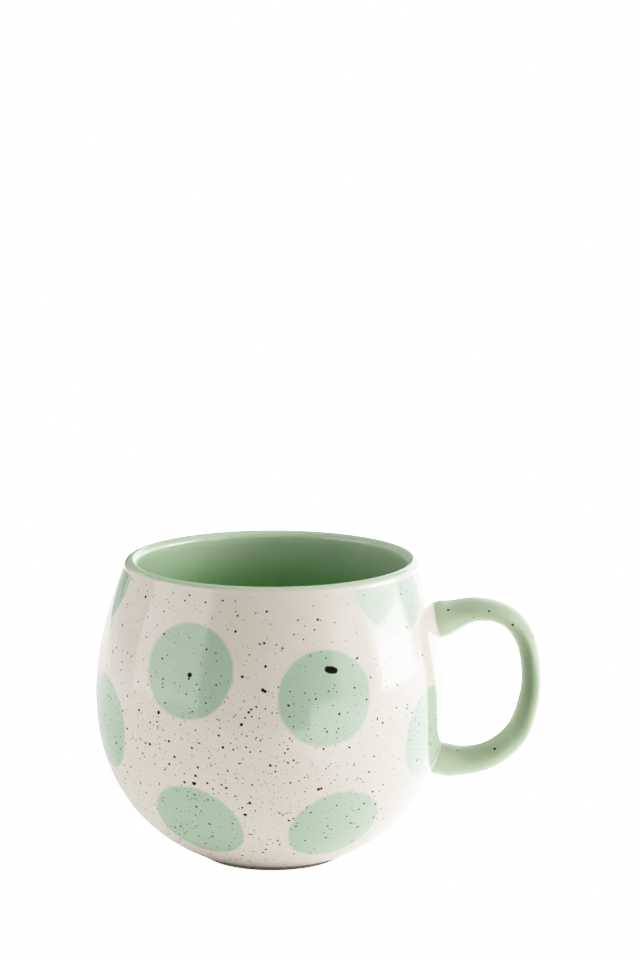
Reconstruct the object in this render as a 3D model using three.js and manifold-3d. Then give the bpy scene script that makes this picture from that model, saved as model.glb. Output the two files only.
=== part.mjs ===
// A round-bellied stoneware mug with a pulled strap handle. The clay is one turned body with a
// handle stuck on by two pads of slip. Over the clay lie three coats of glaze: a cream coat
// outside, a green lining that runs over the lip, and a green sleeve on the handle. Round mint
// dots of glaze stand on the cream coat.
// Millimetres, +Z up. The origin is the centre of the foot on the table, and the handle points
// along +X.

import * as THREE from 'three';
import { mergeVertices } from 'three/addons/utils/BufferGeometryUtils.js';
import Module from 'manifold-3d';

const wasm = await Module();
wasm.setup();

// The outside of the glazed mug.
const HEIGHT = 90;
const BELLY_RADIUS = 52.4;
const BELLY_HEIGHT = 50;
const BOWL_DEPTH = 52.4; // from the belly down to where the bowl's curve would close
const BOWL_POWER = 2.18; // 2 is an ellipse, and more is squarer
const RIM_DROP = 9.4; // how far the rim draws in from the belly
const SHOULDER_POWER = 1.8;

// The wall and the inside.
const WALL = 4;
const INSIDE_FLOOR = 6;
const INSIDE_POWER = 2.4;

// The coats. Layers that are fused on the real mug keep a hair's clearance here.
const GLAZE = 0.4;
const FIT = 0.05;
const SLIP = 0.3;

// The bare foot, and the heights where the glazes end.
const FOOT_RADIUS = 20.5;
const FOOT_INNER_RADIUS = 16.5;
const FOOT_BEVEL = 0.5;
const BASE_RECESS = 0.9;
const GLAZE_LINE = 1.4;
const LIP_START = HEIGHT - WALL / 2;
const LINING_END = LIP_START - 0.1;
const COAT_TOP = LINING_END - 0.2;

// The handle: the route of its middle as X and Z, from inside the upper wall to inside the lower.
const HANDLE_ROUTE = [
  [44, 69.4],
  [52, 72],
  [61, 74.4],
  [69.6, 72.3],
  [74.9, 65.8],
  [77, 55],
  [76, 45.4],
  [72.3, 36.3],
  [64.8, 30.2],
  [55, 28.3],
  [45, 30],
];
const HANDLE_THICKNESS = 6;
const HANDLE_LOWER_GAIN = 1.4; // the lower arm is this much thicker
const HANDLE_WIDTH = 14;
const ROOT_AT = 8; // length of the route that is buried in the wall
const UPPER_ROOT_FLARE = 4.6;
const LOWER_ROOT_FLARE = 2;
const ROOT_WIDTH_FLARE = 3;
const FLARE_LENGTH = 6;

// The dots: the turn about the axis in degrees from the handle, and the height of each centre.
const DOT_RADIUS = 14;
const DOT_THICKNESS = 0.25;
const DOT_LIFT = 0.15;
const DOTS = {
  rim_dot: [[-176, 85], [-38, 87], [33, 87], [138, 86]],
  shoulder_dot: [[-118, 66], [-72, 59], [71, 64], [115, 59]],
  belly_dot: [[-160, 45], [-26, 42.5], [27, 46], [160, 43]],
  base_dot: [[-119, 19], [-64.5, 18], [24, 15], [70, 19], [117, 18], [167, 17]],
};

// How finely the round shapes are divided.
const TURNS = 40;
const BOWL_STEPS = 7;
const SHOULDER_STEPS = 4;
const LIP_STEPS = 4;
const HANDLE_SIDES = 12;
const HANDLE_STEPS = 24;
const NUDGE = 0.01;

const MATERIALS = {
  clay: new THREE.MeshStandardMaterial({ color: 0xcdbba4, roughness: 0.85, metalness: 0 }),
  cream: new THREE.MeshStandardMaterial({ color: 0xe2d8ca, roughness: 0.15, metalness: 0 }),
  mint: new THREE.MeshStandardMaterial({ color: 0xa9c6ac, roughness: 0.15, metalness: 0 }),
  green: new THREE.MeshStandardMaterial({ color: 0x86ad7b, roughness: 0.15, metalness: 0 }),
  sage: new THREE.MeshStandardMaterial({ color: 0xa8bd9c, roughness: 0.15, metalness: 0 }),
};

function outsideRadius(height) {
  if (height < BELLY_HEIGHT) {
    const fall = (BELLY_HEIGHT - height) / BOWL_DEPTH;
    return BELLY_RADIUS * (1 - fall ** BOWL_POWER) ** (1 / BOWL_POWER);
  }
  const rise = (height - BELLY_HEIGHT) / (HEIGHT - BELLY_HEIGHT);
  return BELLY_RADIUS - RIM_DROP * rise ** SHOULDER_POWER;
}

function insideRadius(height) {
  if (height < BELLY_HEIGHT) {
    const fall = (BELLY_HEIGHT - height) / (BELLY_HEIGHT - INSIDE_FLOOR);
    return (BELLY_RADIUS - WALL) * Math.max(0, 1 - fall ** INSIDE_POWER) ** (1 / INSIDE_POWER);
  }
  return outsideRadius(height) - WALL;
}

// A point of a turned surface as radius and height, lifted away from the axis along the normal.
function wallPoint(radiusAt, height, lift) {
  const slope = (radiusAt(height + NUDGE) - radiusAt(height - NUDGE)) / (2 * NUDGE);
  const normal = new THREE.Vector2(1, -slope).normalize();
  return new THREE.Vector2(radiusAt(height), height).addScaledVector(normal, lift);
}

// Heights up a wall, closest together low in the bowl, where it curves most.
function wallHeights(depth, power, lowest, highest) {
  const startAngle = Math.asin(((BELLY_HEIGHT - lowest) / depth) ** (power / 2));
  const heights = [];
  for (let i = 0; i < BOWL_STEPS; i++) {
    const angle = startAngle * (1 - i / BOWL_STEPS);
    heights.push(BELLY_HEIGHT - depth * Math.sin(angle) ** (2 / power));
  }
  for (let i = 0; i <= SHOULDER_STEPS; i++) {
    heights.push(THREE.MathUtils.lerp(BELLY_HEIGHT, highest, i / SHOULDER_STEPS));
  }
  return heights;
}

function outsideLine(highest, lift) {
  const heights = wallHeights(BOWL_DEPTH, BOWL_POWER, GLAZE_LINE, highest);
  return heights.map((height) => wallPoint(outsideRadius, height, lift));
}

// The inside wall from the middle of the floor up to the start of the lip.
function insideLine(lift) {
  const depth = BELLY_HEIGHT - INSIDE_FLOOR;
  const heights = wallHeights(depth, INSIDE_POWER, INSIDE_FLOOR, LIP_START);
  const line = heights.slice(1).map((height) => wallPoint(insideRadius, height, lift));
  return [new THREE.Vector2(0, INSIDE_FLOOR - lift), ...line];
}

// The half circle that joins the two walls over the lip, without its end points.
function lipArc(outer, inner) {
  const centre = outer.clone().add(inner).multiplyScalar(0.5);
  const arc = [];
  for (let i = 1; i < LIP_STEPS; i++) {
    arc.push(outer.clone().rotateAround(centre, (Math.PI * i) / LIP_STEPS));
  }
  return arc;
}

// Turns an outline of radius and height about +Z. The outline runs anticlockwise.
function turned(outline) {
  return new THREE.LatheGeometry(outline, TURNS).rotateX(Math.PI / 2);
}

function clayBody() {
  const inset = GLAZE + FIT;
  const outside = outsideLine(LIP_START, -inset);
  const inside = insideLine(inset);
  return turned([
    new THREE.Vector2(0, BASE_RECESS),
    new THREE.Vector2(FOOT_INNER_RADIUS, BASE_RECESS),
    new THREE.Vector2(FOOT_INNER_RADIUS + FOOT_BEVEL, 0),
    new THREE.Vector2(FOOT_RADIUS - FOOT_BEVEL, 0),
    new THREE.Vector2(FOOT_RADIUS, FOOT_BEVEL),
    new THREE.Vector2(FOOT_RADIUS, GLAZE_LINE),
    ...outside,
    ...lipArc(outside.at(-1), inside.at(-1)),
    ...inside.reverse(),
  ]);
}

function creamCoat() {
  const skin = outsideLine(COAT_TOP, 0);
  const back = outsideLine(COAT_TOP, -GLAZE).reverse();
  return turned([...skin, ...back, skin[0]]);
}

function greenLining() {
  const back = insideLine(GLAZE);
  const skin = insideLine(0);
  const backEnd = wallPoint(outsideRadius, LIP_START, -GLAZE);
  const skinEnd = wallPoint(outsideRadius, LIP_START, 0);
  return turned([
    ...back,
    ...lipArc(backEnd, back.at(-1)).reverse(),
    backEnd,
    wallPoint(outsideRadius, LINING_END, -GLAZE),
    wallPoint(outsideRadius, LINING_END, 0),
    skinEnd,
    ...lipArc(skinEnd, skin.at(-1)),
    ...skin.reverse(),
  ]);
}

// The whole mug filled in, used to trim what meets the outside of the wall.
function filledMug(lift) {
  const line = outsideLine(LIP_START, lift);
  return turned([new THREE.Vector2(0, line[0].y), ...line, new THREE.Vector2(0, line.at(-1).y)]);
}

// A cylinder's points are carried along the handle's route, with an oval section that grows
// towards both roots. `inset` makes the section smaller all round.
function handleSweep(inset) {
  const points = HANDLE_ROUTE.map(([x, z]) => new THREE.Vector3(x, 0, z));
  const route = new THREE.CatmullRomCurve3(points);
  const visible = route.getLength() - 2 * ROOT_AT;
  const geometry = new THREE.CylinderGeometry(1, 1, 1, HANDLE_SIDES, HANDLE_STEPS);
  const corners = geometry.getAttribute('position');
  const corner = new THREE.Vector3();
  for (let i = 0; i < corners.count; i++) {
    corner.fromBufferAttribute(corners, i);
    const along = corner.y + 0.5;
    const fromUpper = Math.max(0, along * route.getLength() - ROOT_AT);
    const fromLower = Math.max(0, visible - fromUpper);
    const upperFlare = Math.exp(-fromUpper / FLARE_LENGTH);
    const lowerFlare = Math.exp(-fromLower / FLARE_LENGTH);
    const lowerArm = THREE.MathUtils.smoothstep(fromUpper / visible, 0.45, 0.85);
    const thickness = HANDLE_THICKNESS + HANDLE_LOWER_GAIN * lowerArm
      + UPPER_ROOT_FLARE * upperFlare + LOWER_ROOT_FLARE * lowerFlare;
    const width = HANDLE_WIDTH + ROOT_WIDTH_FLARE * (upperFlare + lowerFlare);
    const across = new THREE.Vector3(0, 1, 0);
    const deep = across.clone().cross(route.getTangentAt(along));
    const place = route.getPointAt(along);
    place.addScaledVector(across, corner.x * (width / 2 - inset));
    place.addScaledVector(deep, corner.z * (thickness / 2 - inset));
    corners.setXYZ(i, place.x, place.y, place.z);
  }
  return geometry;
}

// Where a line from the belly's centre meets the outside of the mug.
function onSkin(direction, lift) {
  const centre = new THREE.Vector3(0, 0, BELLY_HEIGHT);
  let near = 0;
  let far = 2 * BELLY_RADIUS;
  for (let i = 0; i < 40; i++) {
    const reach = (near + far) / 2;
    const height = BELLY_HEIGHT + direction.z * reach;
    const radius = Math.hypot(direction.x, direction.y) * reach;
    const inMug = height > BELLY_HEIGHT - BOWL_DEPTH && radius < outsideRadius(height);
    if (inMug) near = reach;
    else far = reach;
  }
  return centre.addScaledVector(direction, near + lift);
}

// A dot is a flattened sphere, bent onto the skin so that it is thin at its edge.
function glazeDot(degrees, height) {
  const turn = THREE.MathUtils.degToRad(degrees);
  const radius = outsideRadius(height);
  const middle = new THREE.Vector3(radius * Math.cos(turn), radius * Math.sin(turn), height);
  const outward = middle.clone().sub(new THREE.Vector3(0, 0, BELLY_HEIGHT));
  const spread = DOT_RADIUS / outward.length();
  outward.normalize();
  const sideways = new THREE.Vector3(-Math.sin(turn), Math.cos(turn), 0);
  const upwards = outward.clone().cross(sideways);
  const geometry = new THREE.SphereGeometry(1, 16, 6);
  const corners = geometry.getAttribute('position');
  const corner = new THREE.Vector3();
  for (let i = 0; i < corners.count; i++) {
    corner.fromBufferAttribute(corners, i);
    const direction = outward.clone();
    direction.addScaledVector(sideways, corner.x * spread);
    direction.addScaledVector(upwards, -corner.z * spread);
    const lift = DOT_LIFT + (DOT_THICKNESS * (1 + corner.y)) / 2;
    const place = onSkin(direction.normalize(), lift);
    corners.setXYZ(i, place.x, place.y, place.z);
  }
  return geometry;
}

// Booleans work on a solid whose shared corners are one.
function solid(geometry) {
  const bare = geometry.clone().deleteAttribute('normal').deleteAttribute('uv');
  const welded = mergeVertices(bare, 1e-4);
  const index = welded.getIndex().array;
  const faces = [];
  for (let i = 0; i < index.length; i += 3) {
    const [a, b, c] = [index[i], index[i + 1], index[i + 2]];
    if (a !== b && b !== c && c !== a) faces.push(a, b, c);
  }
  return new wasm.Manifold(new wasm.Mesh({
    numProp: 3,
    vertProperties: new Float32Array(welded.getAttribute('position').array),
    triVerts: new Uint32Array(faces),
  }));
}

function geometryOf(piece) {
  const { vertProperties, triVerts, numProp } = piece.getMesh();
  const corners = [];
  for (let i = 0; i < vertProperties.length; i += numProp) {
    corners.push(vertProperties[i], vertProperties[i + 1], vertProperties[i + 2]);
  }
  const geometry = new THREE.BufferGeometry();
  geometry.setAttribute('position', new THREE.Float32BufferAttribute(corners, 3));
  geometry.setIndex([...triVerts]);
  geometry.computeVertexNormals();
  return geometry;
}

// The half of space above or below a height, as a block much bigger than the mug.
function slab(lowest, highest) {
  const size = 4 * HEIGHT;
  const block = new THREE.BoxGeometry(size, size, highest - lowest);
  return solid(block.translate(0, 0, (lowest + highest) / 2));
}

// A pad of slip between the clay wall and one end of the handle.
function slipPad(lowest, highest) {
  const shell = solid(filledMug(SLIP - GLAZE)).subtract(solid(filledMug(-GLAZE)));
  const end = solid(handleSweep(GLAZE + FIT)).intersect(slab(lowest, highest));
  return geometryOf(end.intersect(shell));
}

function handleClay() {
  const sweep = solid(handleSweep(GLAZE + FIT));
  return geometryOf(sweep.subtract(solid(filledMug(SLIP - GLAZE + FIT))));
}

function handleSleeve() {
  const sleeve = solid(handleSweep(0)).subtract(solid(handleSweep(GLAZE)));
  return geometryOf(sleeve.subtract(solid(filledMug(FIT))));
}

// The cream coat is open where the two ends of the handle pass through it.
function openedCoat() {
  return geometryOf(solid(creamCoat()).subtract(solid(handleSweep(GLAZE - FIT))));
}

const mug = new THREE.Group();

function addPiece(name, geometry, material) {
  const piece = new THREE.Mesh(geometry, material);
  piece.name = name;
  mug.add(piece);
}

addPiece('stoneware_body', clayBody(), MATERIALS.clay);
addPiece('handle_clay', handleClay(), MATERIALS.clay);
addPiece('upper_slip_joint', slipPad(BELLY_HEIGHT, HEIGHT), MATERIALS.clay);
addPiece('lower_slip_joint', slipPad(0, BELLY_HEIGHT), MATERIALS.clay);
addPiece('cream_glaze_coat', openedCoat(), MATERIALS.cream);
addPiece('green_glaze_lining', greenLining(), MATERIALS.green);
addPiece('handle_glaze_sleeve', handleSleeve(), MATERIALS.sage);

for (const [row, places] of Object.entries(DOTS)) {
  places.forEach(([degrees, height], i) => {
    const dot = solid(glazeDot(degrees, height)).intersect(slab(0, COAT_TOP));
    addPiece(`${row}_${i + 1}`, geometryOf(dot), MATERIALS.mint);
  });
}

export default mug;
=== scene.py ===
import math

import bpy
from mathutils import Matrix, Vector


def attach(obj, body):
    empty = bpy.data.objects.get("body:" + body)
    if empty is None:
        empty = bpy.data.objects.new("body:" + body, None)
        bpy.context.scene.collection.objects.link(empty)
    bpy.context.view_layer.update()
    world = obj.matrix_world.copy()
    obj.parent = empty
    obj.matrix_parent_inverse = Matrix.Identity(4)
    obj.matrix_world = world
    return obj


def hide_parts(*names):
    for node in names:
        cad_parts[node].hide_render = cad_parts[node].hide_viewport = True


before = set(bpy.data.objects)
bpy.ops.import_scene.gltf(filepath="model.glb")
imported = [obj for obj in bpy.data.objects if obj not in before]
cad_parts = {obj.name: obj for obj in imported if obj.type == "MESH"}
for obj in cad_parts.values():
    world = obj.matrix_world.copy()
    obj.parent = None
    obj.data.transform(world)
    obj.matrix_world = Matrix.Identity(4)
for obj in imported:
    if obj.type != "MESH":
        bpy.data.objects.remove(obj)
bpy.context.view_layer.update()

# ---- The clay body ---------------------------------------------------------------------------
# A round pot of pale buff stoneware, turned in one piece, 4 mm thick in the wall. Its foot ring
# and the base inside the ring are wiped clean before the firing, so there the clay is bare.

MM = 0.001
ROUND_CORNERS = 160

HEIGHT = 90
BELLY_RADIUS, BELLY_HEIGHT = 52.4, 50
BOWL_DEPTH, BOWL_POWER = 52.4, 2.18
RIM_DROP, SHOULDER_POWER = 9.4, 1.8
WALL = 4
INSIDE_FLOOR, INSIDE_POWER = 6, 2.4
GLAZE, FIT = 0.4, 0.05
FOOT_RADIUS, FOOT_INNER_RADIUS, FOOT_BEVEL = 20.5, 16.5, 0.5
BASE_RECESS = 0.9
POLE_RADIUS = 0.5
GLAZE_LINE = 1.4
LIP_START = HEIGHT - WALL / 2


def outside_radius(height):
    if height < BELLY_HEIGHT:
        fall = (BELLY_HEIGHT - height) / BOWL_DEPTH
        return BELLY_RADIUS * (1 - fall**BOWL_POWER) ** (1 / BOWL_POWER)
    rise = (height - BELLY_HEIGHT) / (HEIGHT - BELLY_HEIGHT)
    return BELLY_RADIUS - RIM_DROP * rise**SHOULDER_POWER


def inside_radius(height):
    if height < BELLY_HEIGHT:
        fall = (BELLY_HEIGHT - height) / (BELLY_HEIGHT - INSIDE_FLOOR)
        share = max(0, 1 - fall**INSIDE_POWER)
        return (BELLY_RADIUS - WALL) * share ** (1 / INSIDE_POWER)
    return outside_radius(height) - WALL


def wall_point(radius_at, height, lift):
    """A point of the wall as (radius, height), lifted off it along its normal."""
    nudge = 0.01
    slope = (radius_at(height + nudge) - radius_at(height - nudge)) / (2 * nudge)
    long = math.hypot(1, slope)
    return radius_at(height) + lift / long, height - lift * slope / long


def wall_line(radius_at, depth, power, lowest, highest, lift):
    """The wall from low in the bowl to the rim, with its points closest together in the bowl."""
    bowl_steps = 26
    shoulder_steps = 16
    start = math.asin(((BELLY_HEIGHT - lowest) / depth) ** (power / 2))
    heights = [
        BELLY_HEIGHT - depth * math.sin(start * (1 - i / bowl_steps)) ** (2 / power)
        for i in range(bowl_steps)
    ]
    heights += [
        BELLY_HEIGHT + (highest - BELLY_HEIGHT) * i / shoulder_steps
        for i in range(shoulder_steps + 1)
    ]
    return [wall_point(radius_at, height, lift) for height in heights]


def outside_line(highest, lift):
    return wall_line(outside_radius, BOWL_DEPTH, BOWL_POWER, GLAZE_LINE, highest, lift)


def inside_line(lift):
    depth = BELLY_HEIGHT - INSIDE_FLOOR
    lowest = INSIDE_FLOOR + 0.002
    return wall_line(inside_radius, depth, INSIDE_POWER, lowest, LIP_START, lift)


def lip_arc(outer, inner, steps=12):
    """The half circle over the lip from one wall to the other, without its end points."""
    centre = Vector(((outer[0] + inner[0]) / 2, (outer[1] + inner[1]) / 2))
    reach = Vector(outer) - centre
    arc = []
    for i in range(1, steps):
        turn = math.pi * i / steps
        x = reach.x * math.cos(turn) - reach.y * math.sin(turn)
        y = reach.x * math.sin(turn) + reach.y * math.cos(turn)
        arc.append((centre.x + x, centre.y + y))
    return arc


def turn_on_wheel(name, outline):
    """Draws a ring out from point to point of an outline, and closes it where it is open."""
    bpy.ops.object.select_all(action="DESELECT")
    radius, height = outline[0]
    bpy.ops.mesh.primitive_circle_add(
        vertices=ROUND_CORNERS, radius=radius * MM, location=(0, 0, height * MM)
    )
    piece = bpy.context.object
    piece.name = piece.data.name = name
    bpy.ops.object.transform_apply(location=True, rotation=True, scale=True)
    bpy.ops.object.mode_set(mode="EDIT")
    bpy.ops.mesh.select_all(action="SELECT")
    for next_radius, next_height in outline[1:]:
        rise = (next_height - height) * MM
        bpy.ops.mesh.extrude_region_move(TRANSFORM_OT_translate={"value": (0, 0, rise)})
        growth = next_radius / radius
        bpy.ops.transform.resize(value=(growth, growth, 1), center_override=(0, 0, 0))
        radius, height = next_radius, next_height
    bpy.ops.mesh.select_all(action="SELECT")
    bpy.ops.mesh.remove_doubles(threshold=0.002 * MM)
    bpy.ops.mesh.select_all(action="DESELECT")
    bpy.ops.mesh.select_non_manifold()
    if any(v.select for v in edit_corners(piece)):
        bpy.ops.mesh.fill_holes(sides=0)
        bpy.ops.mesh.select_all(action="DESELECT")
        bpy.ops.mesh.select_face_by_sides(number=ROUND_CORNERS)
        bpy.ops.mesh.poke()
    finish_mesh(piece)
    return piece


def edit_corners(piece):
    piece.update_from_editmode()
    return piece.data.vertices


def finish_mesh(piece):
    bpy.ops.mesh.select_all(action="SELECT")
    bpy.ops.mesh.normals_make_consistent(inside=False)
    bpy.ops.mesh.select_all(action="DESELECT")
    bpy.ops.object.mode_set(mode="OBJECT")
    bpy.ops.object.shade_smooth_by_angle(angle=math.radians(35))
    piece.select_set(False)


clay_outside = outside_line(LIP_START, -GLAZE - FIT)
clay_inside = inside_line(GLAZE + FIT)
clay_body = turn_on_wheel(
    "clay_body",
    [
        (POLE_RADIUS, BASE_RECESS),
        (FOOT_INNER_RADIUS - 0.6, BASE_RECESS),
        (FOOT_INNER_RADIUS - 0.1, BASE_RECESS - 0.1),
        (FOOT_INNER_RADIUS + 0.15, 0.3),
        (FOOT_INNER_RADIUS + FOOT_BEVEL, 0.06),
        (FOOT_INNER_RADIUS + 1, 0),
        (FOOT_RADIUS - 1, 0),
        (FOOT_RADIUS - FOOT_BEVEL, 0.06),
        (FOOT_RADIUS - 0.15, 0.3),
        (FOOT_RADIUS, 0.7),
        (FOOT_RADIUS, GLAZE_LINE - 0.2),
    ]
    + clay_outside
    + lip_arc(clay_outside[-1], clay_inside[-1])
    + clay_inside[::-1],
)


def add_node(tree, kind, sockets=None, **settings):
    """A node with its settings, and its inputs set to values or linked to other sockets."""
    node = tree.nodes.new(kind)
    for name, value in settings.items():
        setattr(node, name, value)
    for name, value in (sockets or {}).items():
        if isinstance(value, bpy.types.NodeSocket):
            tree.links.new(value, node.inputs[name])
        else:
            node.inputs[name].default_value = value
    return node


def calculate(tree, operation, *values):
    return add_node(tree, "ShaderNodeMath", dict(enumerate(values)), operation=operation).outputs[0]


def calculate_vector(tree, operation, *values):
    node = add_node(tree, "ShaderNodeVectorMath", dict(enumerate(values)), operation=operation)
    return node.outputs["Value" if operation in ("LENGTH", "DISTANCE") else "Vector"]


def noise(tree, place, scale, detail):
    sockets = {"Vector": place, "Scale": scale, "Detail": detail}
    return add_node(tree, "ShaderNodeTexNoise", sockets).outputs


def ease(tree, value, start, end, low=0.0, high=1.0):
    """Runs smoothly from low at start to high at end."""
    sockets = {"Value": value, "From Min": start, "From Max": end, "To Min": low, "To Max": high}
    node = add_node(tree, "ShaderNodeMapRange", sockets, interpolation_type="SMOOTHSTEP")
    return node.outputs["Result"]


def blend_colour(tree, share, first, second):
    """First where the share is 0, and second where it is 1."""
    node = add_node(tree, "ShaderNodeMix", data_type="RGBA")
    sockets = (node.inputs[0], node.inputs[6], node.inputs[7])
    for socket, value in zip(sockets, (share, first, second)):
        if isinstance(value, bpy.types.NodeSocket):
            tree.links.new(value, socket)
        else:
            socket.default_value = value
    return node.outputs[2]


def new_material(name):
    material = bpy.data.materials.new(name)
    material.use_nodes = True
    tree = material.node_tree
    tree.nodes.clear()
    surface = add_node(tree, "ShaderNodeBsdfPrincipled")
    output = add_node(tree, "ShaderNodeOutputMaterial")
    tree.links.new(surface.outputs[0], output.inputs["Surface"])
    place = add_node(tree, "ShaderNodeTexCoord").outputs["Object"]
    return material, tree, surface, place


def raise_surface(tree, surface, height, strength):
    sockets = {"Height": height, "Strength": strength, "Distance": 0.0003}
    bump = add_node(tree, "ShaderNodeBump", sockets)
    tree.links.new(bump.outputs[0], surface.inputs["Normal"])


def coat_with(piece, material):
    piece.data.materials.clear()
    piece.data.materials.append(material)


# The clay tones are darker than the clay's own buff. This is partly the clay's colour and partly
# painted shade for the shade round the foot.
SHADED_DARK_CLAY = (0.27, 0.205, 0.15, 1)
SHADED_BUFF_CLAY = (0.34, 0.27, 0.205, 1)
SHADED_PALE_GRAIN = (0.46, 0.39, 0.31, 1)
PIT_SHADE = (0.16, 0.11, 0.075, 1)

bare_clay, tree, surface, place = new_material("bare_clay")
patches = noise(tree, place, 90.0, 5.0)["Fac"]
grain = noise(tree, place, 2400.0, 3.0)["Fac"]
pits = add_node(tree, "ShaderNodeTexVoronoi", {"Vector": place, "Scale": 1100.0}).outputs["Distance"]
tone = blend_colour(tree, ease(tree, patches, 0.35, 0.65), SHADED_DARK_CLAY, SHADED_BUFF_CLAY)
tone = blend_colour(tree, ease(tree, grain, 0.45, 0.75), tone, SHADED_PALE_GRAIN)
tone = blend_colour(tree, ease(tree, pits, 0.22, 0.1), tone, PIT_SHADE)
tree.links.new(tone, surface.inputs["Base Color"])
tree.links.new(ease(tree, patches, 0.3, 0.7, 0.72, 0.88), surface.inputs["Roughness"])
raise_surface(tree, surface, calculate(tree, "MULTIPLY_ADD", grain, 0.6, pits), 0.5)

coat_with(clay_body, bare_clay)
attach(clay_body, "root")
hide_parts("stoneware_body")

# The pulled clay of the handle and the two pads of slip that it is stuck on with lie under the
# glaze. They keep the frame's own shape.
for name in ("handle_clay", "upper_slip_joint", "lower_slip_joint"):
    coat_with(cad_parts[name], bare_clay)

# ---- The cream glaze coat ---------------------------------------------------------------------
# A glossy cream glaze over the whole outside, from just above the foot to the lip. Iron in the
# glaze burns through as dark specks. Round dots of mint glaze are dabbed on and melt in flush.

COAT_TOP = 87.95

coat_skin = outside_line(COAT_TOP, 0)
coat_back = outside_line(COAT_TOP, -GLAZE)[::-1]
cream_coat = turn_on_wheel("cream_coat", coat_skin + coat_back + coat_skin[:1])

DOT_RADIUS = 14
DOTS = {
    "rim_dot": [(-176, 85), (-38, 87), (33, 87), (138, 86)],
    "shoulder_dot": [(-118, 66), (-72, 59), (71, 64), (115, 59)],
    "belly_dot": [(-160, 45), (-26, 42.5), (27, 46), (160, 43)],
    "base_dot": [(-119, 19), (-64.5, 18), (24, 15), (70, 19), (117, 18), (167, 17)],
}


def on_wall(degrees, height):
    turn = math.radians(degrees)
    radius = outside_radius(height)
    return Vector((radius * math.cos(turn), radius * math.sin(turn), height)) * MM


def new_group(name, inputs, outputs):
    group = bpy.data.node_groups.new(name, "ShaderNodeTree")
    for label, kind, value in inputs:
        socket = group.interface.new_socket(label, in_out="INPUT", socket_type=f"NodeSocket{kind}")
        if value is not None:
            socket.default_value = value
    for label, kind in outputs:
        group.interface.new_socket(label, in_out="OUTPUT", socket_type=f"NodeSocket{kind}")
    given = group.nodes.new("NodeGroupInput").outputs
    result = group.nodes.new("NodeGroupOutput").inputs
    return group, given, result


def place_group(tree, group, sockets):
    return add_node(tree, "ShaderNodeGroup", sockets, node_tree=group).outputs


# A round mark on the glaze: 1 inside a ball about its centre, fading over its edge.
round_mark, given, result = new_group(
    "round_mark",
    [
        ("Place", "Vector", None),
        ("Centre", "Vector", None),
        ("Radius", "Float", 0.014),
        ("Edge", "Float", 0.0005),
    ],
    [("Mask", "Float")],
)
distance = calculate_vector(round_mark, "DISTANCE", given["Place"], given["Centre"])
outer = calculate(round_mark, "ADD", given["Radius"], given["Edge"])
inner = calculate(round_mark, "SUBTRACT", given["Radius"], given["Edge"])
round_mark.links.new(ease(round_mark, distance, outer, inner), result["Mask"])


def add_marks(tree, place, spots, edge, cover=0.0):
    """Adds a round mark for each (centre, radius in mm) to what is covered already."""
    for centre, radius in spots:
        sockets = {"Place": place, "Centre": centre, "Radius": radius * MM, "Edge": edge}
        mark = place_group(tree, round_mark, sockets)["Mask"]
        cover = calculate(tree, "MAXIMUM", cover, mark)
    return cover


def waver(tree, place, scale, detail, reach):
    """The place, moved this way and that by up to half of the reach, for uneven edges."""
    colour = noise(tree, place, scale, detail)["Color"]
    shift = calculate_vector(tree, "SUBTRACT", colour, (0.5, 0.5, 0.5))
    return calculate_vector(tree, "MULTIPLY_ADD", shift, (reach, reach, reach), place)


# Iron specks: balls scattered in space, cut by the surface into spots of many sizes.
iron_specks, given, result = new_group(
    "iron_specks",
    [
        ("Place", "Vector", None),
        ("Scale", "Float", 700.0),
        ("Radius", "Float", 0.25),
        ("Share", "Float", 0.2),
    ],
    [("Mask", "Float")],
)
moved = waver(iron_specks, given["Place"], 2600.0, 1.0, 0.0005)
cells = add_node(iron_specks, "ShaderNodeTexVoronoi", {"Vector": moved, "Scale": given["Scale"]})
chance = add_node(iron_specks, "ShaderNodeSeparateColor", {"Color": cells.outputs["Color"]}).outputs
chosen = calculate(iron_specks, "LESS_THAN", chance["Red"], given["Share"])
mostly_small = calculate(iron_specks, "POWER", chance["Green"], 3.0)
size = calculate(iron_specks, "MULTIPLY_ADD", mostly_small, 0.7, 0.3)
reach = calculate(iron_specks, "MULTIPLY", given["Radius"], size)
solid_reach = calculate(iron_specks, "MULTIPLY", reach, 0.6)
spot = ease(iron_specks, cells.outputs["Distance"], reach, solid_reach)
iron_specks.links.new(calculate(iron_specks, "MULTIPLY", chosen, spot), result["Mask"])


def scatter_specks(tree, place, scale, radius, share):
    sockets = {"Place": place, "Scale": scale, "Radius": radius, "Share": share}
    return place_group(tree, iron_specks, sockets)["Mask"]


# The skin of a fired glaze: slow clouds in its tone, and a faint ripple that bends reflections.
fired_skin, given, result = new_group(
    "fired_skin", [("Place", "Vector", None)], [("Cloud", "Float"), ("Ripple", "Float")]
)
cloud = noise(fired_skin, given["Place"], 55.0, 4.0)["Fac"]
fired_skin.links.new(cloud, result["Cloud"])
flattened = calculate_vector(fired_skin, "MULTIPLY", given["Place"], (0.25, 0.25, 1.0))
bands = noise(fired_skin, flattened, 420.0, 2.0)["Fac"]
waves = noise(fired_skin, given["Place"], 60.0, 1.0)["Fac"]
fired_skin.links.new(calculate(fired_skin, "MULTIPLY_ADD", bands, 0.12, waves), result["Ripple"])

CREAM = (0.76, 0.685, 0.592, 1)
WARM_CREAM = (0.72, 0.635, 0.53, 1)
MINT = (0.41, 0.54, 0.395, 1)
IRON = (0.006, 0.005, 0.004, 1)
FRECKLE = (0.36, 0.36, 0.29, 1)
DOT_EDGE, SPECK_EDGE = 0.0006, 0.00015

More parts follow.
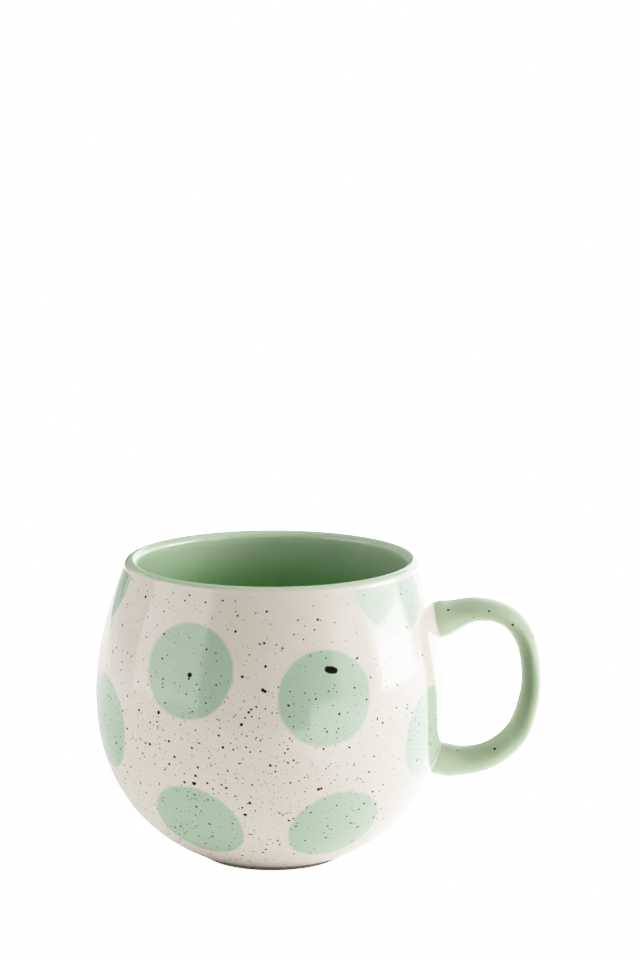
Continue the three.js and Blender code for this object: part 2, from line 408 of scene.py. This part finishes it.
# Iron blots: turn and height of each centre, and its radius.
BLOTS = [
    (-71.0, 67.2, 0.95), (-70.2, 67.0, 1.1), (-69.4, 66.9, 1.1), (-68.6, 66.7, 0.9),
    (-117, 65, 0.75), (-117.2, 63.9, 0.35), (-92.3, 62, 0.5), (-91.6, 61.6, 0.45),
    (-116, 33, 0.6), (-119.5, 33, 0.4), (-115, 35.5, 0.42), (-97, 28, 0.45),
    (-74, 32, 0.5), (-73.1, 32.2, 0.4), (-128, 53, 0.55), (-99, 24, 0.5),
    (-143, 84, 0.45), (-60, 69.5, 0.38), (-45, 60, 0.4), (-52, 50, 0.4),
    (-99, 52, 0.45), (-105, 45, 0.4), (-90, 40, 0.4), (-102, 78, 0.35),
    (-92, 75, 0.35), (-99, 65.6, 0.4), (-132, 43, 0.45), (-124, 45, 0.4), (-73, 81, 0.35),
]

cream_glaze, tree, surface, place = new_material("cream_glaze")
height = add_node(tree, "ShaderNodeSeparateXYZ", {0: place}).outputs["Z"]
skin = place_group(tree, fired_skin, {"Place": place})
colour = blend_colour(tree, ease(tree, skin["Cloud"], 0.3, 0.7, 0.0, 0.35), CREAM, WARM_CREAM)
dot_spots = [(on_wall(*spot), DOT_RADIUS) for row in DOTS.values() for spot in row]
dots = add_marks(tree, waver(tree, place, 150.0, 3.0, 0.0012), dot_spots, DOT_EDGE)
colour = blend_colour(tree, dots, colour, MINT)
freckles = scatter_specks(tree, place, 620.0, 0.36, 0.6)
colour = blend_colour(tree, calculate(tree, "MULTIPLY", freckles, 0.3), colour, FRECKLE)
share = ease(tree, height, 0.08, 0.042, 0.35, 0.95)
coarse_share = calculate(tree, "MULTIPLY", share, 0.35)
fine = scatter_specks(tree, place, 640.0, 0.33, share)
dust = scatter_specks(tree, place, 900.0, 0.28, share)
coarse = scatter_specks(tree, place, 330.0, 0.15, coarse_share)
specks = calculate(tree, "MAXIMUM", calculate(tree, "MAXIMUM", fine, dust), coarse)
blot_spots = [(on_wall(degrees, blot_height), radius) for degrees, blot_height, radius in BLOTS]
iron = add_marks(tree, place, blot_spots, SPECK_EDGE, specks)
colour = blend_colour(tree, iron, colour, IRON)
tree.links.new(colour, surface.inputs["Base Color"])
roughness = ease(tree, skin["Cloud"], 0.3, 0.7, 0.09, 0.14)
roughness = calculate(tree, "MULTIPLY_ADD", iron, 0.5, roughness)
tree.links.new(roughness, surface.inputs["Roughness"])
tree.links.new(iron, surface.inputs["Metallic"])
raise_surface(tree, surface, skin["Ripple"], 0.35)

coat_with(cream_coat, cream_glaze)
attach(cream_coat, "root")
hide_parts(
    "cream_glaze_coat",
    *[f"{row}_{i + 1}" for row, places in DOTS.items() for i in range(len(places))],
)

# ---- The green lining -------------------------------------------------------------------------
# A clear leaf-green glaze poured inside and swilled round. It covers the floor, the wall and the
# lip, where it runs thin and fades into the cream of the outside. The upper wall is painted paler
# towards the mouth: partly the thin glaze of the lip and partly painted light where more light falls
# in.

LINING_START = 87.9

lining_back = inside_line(GLAZE)
lining_skin = inside_line(0)
back_end = wall_point(outside_radius, LIP_START, -GLAZE)
skin_end = wall_point(outside_radius, LIP_START, 0)
green_lining = turn_on_wheel(
    "green_lining",
    [(POLE_RADIUS, INSIDE_FLOOR - GLAZE)]
    + lining_back[1:]
    + lip_arc(back_end, lining_back[-1])[::-1]
    + [
        back_end,
        wall_point(outside_radius, LINING_START, -GLAZE),
        wall_point(outside_radius, LINING_START, 0.01),
        skin_end,
    ]
    + lip_arc(skin_end, lining_skin[-1])
    + lining_skin[:0:-1]
    + [(POLE_RADIUS, INSIDE_FLOOR)],
)

LEAF = (0.215, 0.45, 0.165, 1)
DEEP_LEAF = (0.21, 0.44, 0.16, 1)
THIN_AND_LIT_LEAF = (0.60, 0.72, 0.55, 1)
PALE_MINT = (0.60, 0.73, 0.53, 1)

green_glaze, tree, surface, place = new_material("green_glaze")
height = add_node(tree, "ShaderNodeSeparateXYZ", {0: place}).outputs["Z"]
around = calculate_vector(tree, "MULTIPLY", place, (1.0, 1.0, 0.0))
from_axis = calculate_vector(tree, "LENGTH", around)
skin = place_group(tree, fired_skin, {"Place": place})
colour = blend_colour(tree, ease(tree, skin["Cloud"], 0.3, 0.7, 0.0, 0.5), LEAF, DEEP_LEAF)
# Paler towards the mouth: thin glaze at the lip, and painted light on the upper wall.
thin_and_lit = ease(tree, calculate(tree, "MULTIPLY_ADD", skin["Cloud"], 0.003, height), 0.070, 0.0905)
colour = blend_colour(tree, thin_and_lit, colour, THIN_AND_LIT_LEAF)
outside = ease(tree, from_axis, 0.0422, 0.0431)
outer_lip = calculate(tree, "MULTIPLY", outside, ease(tree, height, 0.087, 0.0876))
colour = blend_colour(tree, outer_lip, colour, PALE_MINT)
cream_share = calculate(tree, "MULTIPLY", outer_lip, ease(tree, height, 0.0894, 0.0888))
colour = blend_colour(tree, cream_share, colour, CREAM)
tree.links.new(colour, surface.inputs["Base Color"])
tree.links.new(ease(tree, skin["Cloud"], 0.3, 0.7, 0.08, 0.13), surface.inputs["Roughness"])
raise_surface(tree, surface, skin["Ripple"], 0.3)

coat_with(green_lining, green_glaze)
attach(green_lining, "root")
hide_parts("green_glaze_lining")

# ---- The handle's glaze -----------------------------------------------------------------------
# A pulled strap of clay, oval in section and bent into an ear, dipped in a soft sage glaze. Both
# ends are pressed onto the wall and flare where the wet clay was smoothed down.

HANDLE_ROUTE = [
    (44, 69.4), (52, 72), (61, 74.4), (69.6, 72.3), (74.9, 65.8), (77, 55),
    (76, 45.4), (72.3, 36.3), (64.8, 30.2), (55, 28.3), (45, 30),
]
HANDLE_THICKNESS, HANDLE_LOWER_GAIN, HANDLE_WIDTH = 6, 1.4, 14
ROOT_AT = 8
UPPER_ROOT_FLARE, LOWER_ROOT_FLARE, ROOT_WIDTH_FLARE, FLARE_LENGTH = 4.6, 2, 3, 6
LOWER_ARM_START, LOWER_ARM_RUN = 0.45, 0.4
HANDLE_CORNERS, HANDLE_RINGS = 36, 84


def route_points(steps=40):
    """Points close together along a smooth curve through the route."""
    knots = [Vector(p) for p in HANDLE_ROUTE]
    knots = [2 * knots[0] - knots[1]] + knots + [2 * knots[-1] - knots[-2]]
    points = []
    for before, start, end, after in zip(knots, knots[1:], knots[2:], knots[3:]):
        pairs = ((before, start), (start, end), (end, after))
        first, gap, last = (math.sqrt((b - a).length) for a, b in pairs)
        leave = (start - before) / first - (end - before) / (first + gap) + (end - start) / gap
        arrive = (end - start) / gap - (after - start) / (gap + last) + (after - end) / last
        for i in range(steps):
            t = i / steps
            points.append(
                (2 * t**3 - 3 * t**2 + 1) * start + (t**3 - 2 * t**2 + t) * gap * leave
                + (3 * t**2 - 2 * t**3) * end + (t**3 - t**2) * gap * arrive
            )
    return points + [knots[-2]]


route = route_points()
lengths = [0.0]
for a, b in zip(route, route[1:]):
    lengths.append(lengths[-1] + (b - a).length)


def on_route(length):
    """The point (reach, height) of the route at a length along it."""
    i = max(1, next((k for k, reached in enumerate(lengths) if reached >= length), len(lengths) - 1))
    share = (length - lengths[i - 1]) / (lengths[i] - lengths[i - 1])
    return route[i - 1].lerp(route[i], share)


def handle_section(length):
    """Middle, slope, width and thickness of the handle at a length along its route."""
    visible = lengths[-1] - 2 * ROOT_AT
    from_upper = max(0, length - ROOT_AT)
    from_lower = max(0, visible - from_upper)
    upper_flare = math.exp(-from_upper / FLARE_LENGTH)
    lower_flare = math.exp(-from_lower / FLARE_LENGTH)
    lower_arm = min(1, max(0, (from_upper / visible - LOWER_ARM_START) / LOWER_ARM_RUN))
    lower_arm = lower_arm**2 * (3 - 2 * lower_arm)
    thickness = (
        HANDLE_THICKNESS + HANDLE_LOWER_GAIN * lower_arm
        + UPPER_ROOT_FLARE * upper_flare + LOWER_ROOT_FLARE * lower_flare
    )
    width = HANDLE_WIDTH + ROOT_WIDTH_FLARE * (upper_flare + lower_flare)
    nudge = 0.3
    ahead = on_route(min(lengths[-1], length + nudge)) - on_route(max(0, length - nudge))
    return on_route(length), math.atan2(ahead.y, ahead.x), width, thickness


ROOT_START, ROOT_STOP = 3.3, 2.3
stations = [
    ROOT_START + (lengths[-1] - ROOT_START - ROOT_STOP) * i / HANDLE_RINGS
    for i in range(HANDLE_RINGS + 1)
]
middle, slope, width, thickness = handle_section(stations[0])
bpy.ops.object.select_all(action="DESELECT")
bpy.ops.mesh.primitive_circle_add(vertices=HANDLE_CORNERS, radius=0.5 * MM)
handle_glaze = bpy.context.object
handle_glaze.name = handle_glaze.data.name = "handle_glaze"
bpy.ops.object.mode_set(mode="EDIT")
bpy.ops.mesh.select_all(action="SELECT")
bpy.ops.transform.resize(value=(thickness, width, 1), center_override=(0, 0, 0))
# With no window a turn runs the other way, so the angles here are the negative of the slope.
TURN_SIGN = -1
bpy.ops.transform.rotate(
    value=TURN_SIGN * (math.pi / 2 - slope), orient_axis="Y", center_override=(0, 0, 0)
)
bpy.ops.transform.translate(value=(middle.x * MM, 0, middle.y * MM))
bpy.ops.mesh.edge_face_add()
for station in stations[1:]:
    last_middle, last_slope, last_width, last_thickness = middle, slope, width, thickness
    middle, slope, width, thickness = handle_section(station)
    step = (middle - last_middle) * MM
    centre = (middle.x * MM, 0, middle.y * MM)
    bpy.ops.mesh.extrude_region_move(TRANSFORM_OT_translate={"value": (step.x, 0, step.y)})
    turn = (slope - last_slope + math.pi) % (2 * math.pi) - math.pi
    bpy.ops.transform.rotate(value=-TURN_SIGN * turn, orient_axis="Y", center_override=centre)
    grow = (thickness / last_thickness, width / last_width, thickness / last_thickness)
    bpy.ops.transform.resize(value=grow, center_override=centre)
finish_mesh(handle_glaze)

PALE_SAGE = (0.445, 0.545, 0.39, 1)
LIT_SAGE = (0.50, 0.60, 0.45, 1)
SHADED_SAGE = (0.20, 0.27, 0.165, 1)
WARM_SAGE = (0.385, 0.475, 0.30, 1)

# Iron specks on the handle: reach, height and radius.
HANDLE_SPECKS = [
    (52, 75.4, 0.42), (64, 75.3, 0.32), (73, 73.2, 0.28), (71, 71.2, 0.34),
    (77, 67, 0.4), (59.5, 73.4, 0.22), (66, 33.3, 0.45), (55, 32.2, 0.25),
]


def on_handle_front(x, z):
    """The point on the front of the handle at a given reach and height."""
    nearest = min(stations, key=lambda station: (on_route(station) - Vector((x, z))).length)
    middle, slope, width, thickness = handle_section(nearest)
    share = min(0.99, (Vector((x, z)) - middle).length / (thickness / 2))
    return Vector((x, -width / 2 * math.sqrt(1 - share**2), z)) * MM


sage_glaze, tree, surface, place = new_material("sage_glaze")
skin = place_group(tree, fired_skin, {"Place": place})
reach_out = add_node(tree, "ShaderNodeSeparateXYZ", {0: place}).outputs["X"]
uneven_reach = calculate(tree, "MULTIPLY_ADD", skin["Cloud"], 0.004, reach_out)
# Painted shade: the outer side of the handle is made darker.
colour = blend_colour(tree, ease(tree, uneven_reach, 0.0725, 0.0785), PALE_SAGE, SHADED_SAGE)
# Painted light: the arms and roots near the wall are made paler.
colour = blend_colour(tree, ease(tree, reach_out, 0.062, 0.048), colour, LIT_SAGE)
colour = blend_colour(tree, ease(tree, skin["Cloud"], 0.3, 0.7, 0.0, 0.4), colour, WARM_SAGE)
specks = scatter_specks(tree, place, 500.0, 0.2, 0.05)
speck_spots = [(on_handle_front(x, z), radius) for x, z, radius in HANDLE_SPECKS]
iron = add_marks(tree, place, speck_spots, SPECK_EDGE, specks)
colour = blend_colour(tree, iron, colour, IRON)
tree.links.new(colour, surface.inputs["Base Color"])
surface.inputs["IOR"].default_value = 1.25
tree.links.new(ease(tree, skin["Cloud"], 0.3, 0.7, 0.3, 0.38), surface.inputs["Roughness"])
raise_surface(tree, surface, skin["Ripple"], 0.35)

coat_with(handle_glaze, sage_glaze)
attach(handle_glaze, "root")
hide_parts("handle_glaze_sleeve")

# ---- The table, the lights and the camera -----------------------------------------------------
# The mug stands on a plain white table before a white backdrop. Softboxes on the left, the right
# and behind show only in the glaze, others give only colour and shade, and a dark screen by the
# camera shows only in the glaze.

bpy.ops.object.select_all(action="DESELECT")
bpy.ops.mesh.primitive_plane_add(size=12)
table = bpy.context.object
table.name = "table"
table_white, tree, surface, place = new_material("table_white")
paper = noise(tree, place, 300.0, 3.0)["Fac"]
tone = blend_colour(tree, paper, (0.88, 0.88, 0.875, 1), (0.92, 0.92, 0.915, 1))
tree.links.new(tone, surface.inputs["Base Color"])
surface.inputs["Roughness"].default_value = 0.8
surface.inputs["Emission Color"].default_value = (1, 1, 1, 1)

# The table gives light of its own: pools that show in the glaze, a little bounce on to the wall,
# and plain white to the eye but for a thin shade round the foot.
ray = add_node(tree, "ShaderNodeLightPath").outputs
across = add_node(tree, "ShaderNodeSeparateXYZ", {0: place}).outputs
from_foot = calculate_vector(tree, "LENGTH", place)
left_pool = ease(tree, across["X"], -0.05, -0.3, 0.0, 0.6)
right_pool = ease(tree, across["X"], -0.02, 0.1, 0.0, 3.0)
back_pool = ease(tree, across["X"], 0.02, 0.07, 0.0, 2.5)
back_pool = calculate(tree, "MULTIPLY", back_pool, ease(tree, across["Y"], -0.02, 0.12))
pools = calculate(tree, "ADD", calculate(tree, "ADD", left_pool, right_pool), back_pool)
glow = calculate(tree, "MULTIPLY", ray["Is Glossy Ray"], pools)
bounce = ease(tree, from_foot, 0.02, 0.05, 0.0, 0.4)
glow = calculate(tree, "MULTIPLY_ADD", ray["Is Diffuse Ray"], bounce, glow)
white_to_the_eye = ease(tree, from_foot, 0.0195, 0.023, 0.9, 5.0)
glow = calculate(tree, "MULTIPLY_ADD", ray["Is Camera Ray"], white_to_the_eye, glow)
tree.links.new(glow, surface.inputs["Emission Strength"])
coat_with(table, table_white)


def add_softbox(name, seen_in, centre, aim, width, tall, radiance, fade=0.06):
    """A rectangle of light for gloss or for colour, which dims over a share of it at each edge."""
    light = bpy.data.lights.new(name, "AREA")
    light.shape, light.size, light.size_y = "RECTANGLE", width, tall
    light.energy = radiance * math.pi * width * tall
    light.use_nodes = True
    tree = light.node_tree
    on_light = add_node(tree, "ShaderNodeNewGeometry").outputs["Parametric"]
    on_light = add_node(tree, "ShaderNodeSeparateXYZ", {0: on_light}).outputs
    strength = 1.0
    for axis in ("X", "Y"):
        strength = calculate(tree, "MULTIPLY", strength, ease(tree, on_light[axis], 0.0, fade))
        far_edge = ease(tree, on_light[axis], 1.0, 1.0 - fade)
        strength = calculate(tree, "MULTIPLY", strength, far_edge)
    tree.links.new(strength, tree.nodes["Emission"].inputs["Strength"])
    lamp = bpy.data.objects.new(name, light)
    bpy.context.scene.collection.objects.link(lamp)
    lamp.location = centre
    lamp.rotation_euler = (Vector(aim) - Vector(centre)).to_track_quat("-Z", "Y").to_euler()
    lamp.visible_camera = False
    lamp.visible_diffuse = seen_in == "colour"
    lamp.visible_glossy = seen_in == "gloss"


add_softbox("left_softbox", "gloss", (-0.6, -0.26, 0.3), (0, -0.26, 0.3), 0.72, 0.6, 2.4, 0.02)
add_softbox("left_back_softbox", "gloss", (-0.6, 0.41, 0.3), (0, 0.41, 0.3), 0.61, 0.6, 0.7, 0.02)
add_softbox("front_right_softbox", "gloss", (0.48, -0.33, 0.2), (0, 0, 0.1), 0.42, 0.42, 3.0, 0.3)
add_softbox("right_softbox", "gloss", (0.9, 0, 0.3), (0, 0, 0.3), 0.7, 0.6, 7.0, 0.1)
add_softbox("window", "gloss", (0.8, 0, 0.147), (0, 0, 0.147), 0.44, 0.23, 14.0, 0.02)
add_softbox("right_back_softbox", "gloss", (0.8, 0.62, 0.3), (0, 0.62, 0.3), 0.82, 0.6, 3.5, 0.02)
add_softbox("back_softbox", "gloss", (0.5, 1.05, 0.3), (0.5, 0, 0.3), 0.9, 0.6, 3.0, 0.02)
add_softbox("left_fill", "colour", (-0.55, 0.02, 0.3), (0, 0.02, 0.3), 1.3, 0.6, 1.2)
add_softbox("overhead_fill", "colour", (0, 0, 1.0), (0, 0, 0.1), 1.2, 1.2, 0.7)
add_softbox("front_fill", "colour", (0, -1.0, 0.45), (0, 0, 0.1), 1.0, 0.7, 0.6)
add_softbox("back_fill", "colour", (0, 0.7, 0.35), (0, 0, 0.1), 1.0, 0.6, 4.5)
add_softbox("key_light", "colour", (0.7, 0, 0.36), (0, 0, 0.08), 0.36, 0.3, 14.5)
add_softbox("second_key_light", "colour", (0.62, -0.36, 0.36), (0, 0, 0.08), 0.36, 0.3, 5.0)

bpy.ops.object.select_all(action="DESELECT")
bpy.ops.mesh.primitive_plane_add(size=1)
dark_screen = bpy.context.object
dark_screen.name = "dark_screen"
dark_screen.scale = (0.36, 0.6, 1)
dark_screen.rotation_euler = (math.pi / 2, 0, 0)
dark_screen.location = (-0.07, -0.26, 0.3)
bpy.ops.object.transform_apply(location=True, rotation=True, scale=True)
screen_black, tree, surface, place = new_material("screen_black")
weave = noise(tree, place, 400.0, 2.0)["Fac"]
tree.links.new(ease(tree, weave, 0.3, 0.7, 0.01, 0.02), surface.inputs["Base Color"])
surface.inputs["Roughness"].default_value = 1.0
coat_with(dark_screen, screen_black)
dark_screen.visible_camera = dark_screen.visible_diffuse = dark_screen.visible_shadow = False

backdrop = bpy.data.worlds.new("white_backdrop")
bpy.context.scene.world = backdrop
backdrop.use_nodes = True
tree = backdrop.node_tree
tree.nodes.clear()
seen = add_node(tree, "ShaderNodeLightPath").outputs["Is Camera Ray"]
white = add_node(tree, "ShaderNodeBackground", {"Strength": calculate(tree, "MULTIPLY", seen, 6.0)})
add_node(tree, "ShaderNodeOutputWorld", {"Surface": white.outputs[0]})

camera_data = bpy.data.cameras.new("camera")
camera_data.lens = 155.4
camera_data.sensor_width = 36
camera = bpy.data.objects.new("camera", camera_data)
bpy.context.scene.collection.objects.link(camera)
camera.location = (0.0142, -1.2, 0.3355)
camera.rotation_euler = (math.radians(90 - 10.49), 0, 0)
camera_data.clip_start, camera_data.clip_end = 0.05, 30
bpy.context.scene.camera = camera

# The film keeps dark tones as they are and rolls off softly towards white.
ROLL_OFF_START, FILM_WHITE = 0.45, 5
look = bpy.context.scene.view_settings
look.view_transform = "Standard"
look.use_curve_mapping = True
film = look.curve_mapping
film.use_clip = False
film.extend = "HORIZONTAL"
film.white_level = (FILM_WHITE,) * 3
room_left = 1 - ROLL_OFF_START
for brightness in (0.1, 0.2, 0.3, ROLL_OFF_START, 0.6, 0.8, 1.0, 1.35, 1.8, 2.5, 3.5):
    past = max(0, brightness - ROLL_OFF_START) / room_left
    shown = min(brightness, ROLL_OFF_START) + room_left * (1 - math.exp(-past))
    film.curves[3].points.new(brightness / FILM_WHITE, shown)
film.update()
